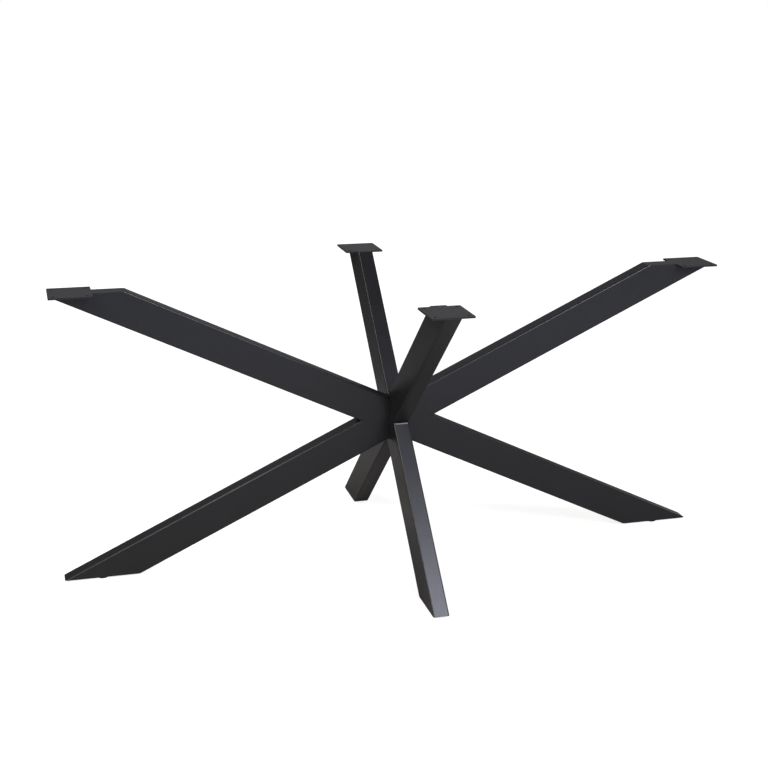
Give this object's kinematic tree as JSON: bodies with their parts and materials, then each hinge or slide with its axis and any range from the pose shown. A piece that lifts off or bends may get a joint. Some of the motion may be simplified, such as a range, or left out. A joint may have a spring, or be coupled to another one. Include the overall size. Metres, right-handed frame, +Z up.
{
  "type": "crossed-tube dining table base",
  "caption": "Free-standing steel table base: two crosses of rectangular tube meet in one hub, with screw flanges on top and levelling feet below.",
  "frame": {"origin": "on the floor under the hub, where the two crosses meet", "axes": "+Z up; +X along the wide cross to the right of the picture; +Y along the narrow cross, away from the viewer"},
  "size_m": [1.67, 0.8, 0.72],
  "materials": {
    "black_powder_coat": "satin black powder coat, very fine texture",
    "zinc_plated_steel": "bright zinc plate",
    "black_nylon": "moulded black nylon"
  },
  "bodies": {
    "frame": {"long_tube_through": "black_powder_coat", "long_tube_upper_right": "black_powder_coat", "long_tube_lower_left": "black_powder_coat", "short_tube_upper_front": "black_powder_coat", "short_tube_lower_front": "black_powder_coat", "short_tube_upper_back": "black_powder_coat", "short_tube_lower_back": "black_powder_coat", "top_plate_left": "black_powder_coat", "bottom_plate_left": "black_powder_coat", "weld_nut_left": "zinc_plated_steel", "top_plate_right": "black_powder_coat", "bottom_plate_right": "black_powder_coat", "weld_nut_right": "zinc_plated_steel", "top_plate_front": "black_powder_coat", "bottom_plate_front": "black_powder_coat", "weld_nut_front": "zinc_plated_steel", "top_plate_back": "black_powder_coat", "bottom_plate_back": "black_powder_coat", "weld_nut_back": "zinc_plated_steel"},
    "foot_left": {"foot_pad_left": "black_nylon", "foot_stud_left": "zinc_plated_steel"},
    "foot_right": {"foot_pad_right": "black_nylon", "foot_stud_right": "zinc_plated_steel"},
    "foot_front": {"foot_pad_front": "black_nylon", "foot_stud_front": "zinc_plated_steel"},
    "foot_back": {"foot_pad_back": "black_nylon", "foot_stud_back": "zinc_plated_steel"}
  },
  "joints": [
    {"name": "foot_left_height", "type": "slide", "parent": "frame", "child": "foot_left", "axis": [0, 0, 1], "range_m": [-0.01, 0]},
    {"name": "foot_right_height", "type": "slide", "parent": "frame", "child": "foot_right", "axis": [0, 0, 1], "range_m": [-0.01, 0]},
    {"name": "foot_front_height", "type": "slide", "parent": "frame", "child": "foot_front", "axis": [0, 0, 1], "range_m": [-0.01, 0]},
    {"name": "foot_back_height", "type": "slide", "parent": "frame", "child": "foot_back", "axis": [0, 0, 1], "range_m": [-0.01, 0]}
  ]
}
